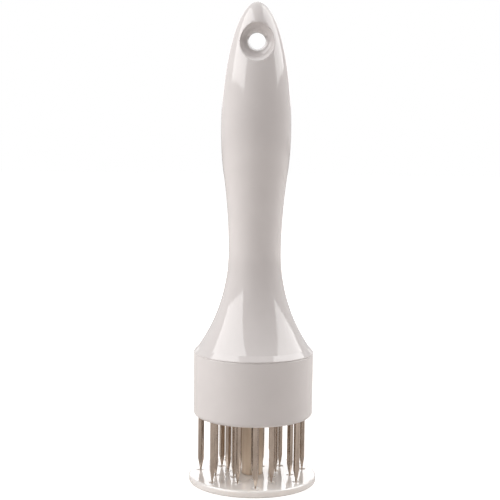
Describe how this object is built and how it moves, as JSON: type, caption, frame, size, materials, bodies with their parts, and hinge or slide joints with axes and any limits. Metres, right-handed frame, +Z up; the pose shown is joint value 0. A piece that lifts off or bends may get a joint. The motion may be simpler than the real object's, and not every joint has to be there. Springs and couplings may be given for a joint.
{
  "type": "blade meat tenderizer",
  "caption": "Hand meat tenderizer: club-shaped plastic handle over a collar of steel blades, with a sprung guard plate that rides up the blades.",
  "frame": {"origin": "centre of the guard plate's underside, where the tool stands upright on a table", "axes": "+Z up along the tool's axis to the tip of the handle, -Y towards the front, hang hole along Y"},
  "size_m": [0.0535, 0.0534, 0.1996],
  "materials": {
    "white_abs": "glossy moulded",
    "white_pp": "satin moulded",
    "white_gloss": "glossy polished",
    "blade_steel": "ground",
    "post_steel": "satin turned",
    "spring_steel": "drawn wire",
    "plated_screw": "bright zinc plated"
  },
  "bodies": {
    "tool": {"handle": "white_abs", "collar": "white_abs", "clamp_disc": "white_pp", "collar_screws": "plated_screw", "blade_outer_1": "blade_steel", "blade_outer_2": "blade_steel", "blade_outer_3": "blade_steel", "blade_outer_4": "blade_steel", "blade_outer_5": "blade_steel", "blade_outer_6": "blade_steel", "blade_outer_7": "blade_steel", "blade_middle_1": "blade_steel", "blade_middle_2": "blade_steel", "blade_middle_3": "blade_steel", "blade_middle_4": "blade_steel", "blade_middle_5": "blade_steel", "blade_middle_6": "blade_steel", "blade_middle_7": "blade_steel", "blade_inner_1": "blade_steel", "blade_inner_2": "blade_steel", "blade_inner_3": "blade_steel", "blade_inner_4": "blade_steel", "blade_inner_5": "blade_steel", "blade_inner_6": "blade_steel", "blade_inner_7": "blade_steel", "return_spring": "spring_steel"},
    "presser": {"guard_plate": "white_gloss", "guide_post": "post_steel", "post_screw": "plated_screw", "retaining_ring": "spring_steel", "spring_washer": "spring_steel"}
  },
  "joints": [
    {"name": "press", "type": "slide", "parent": "tool", "child": "presser", "axis": [0, 0, 1], "range_m": [0, 0.025], "stiffness_N_per_m": 300, "springref_m": -0.02, "deforming": ["return_spring"]}
  ]
}
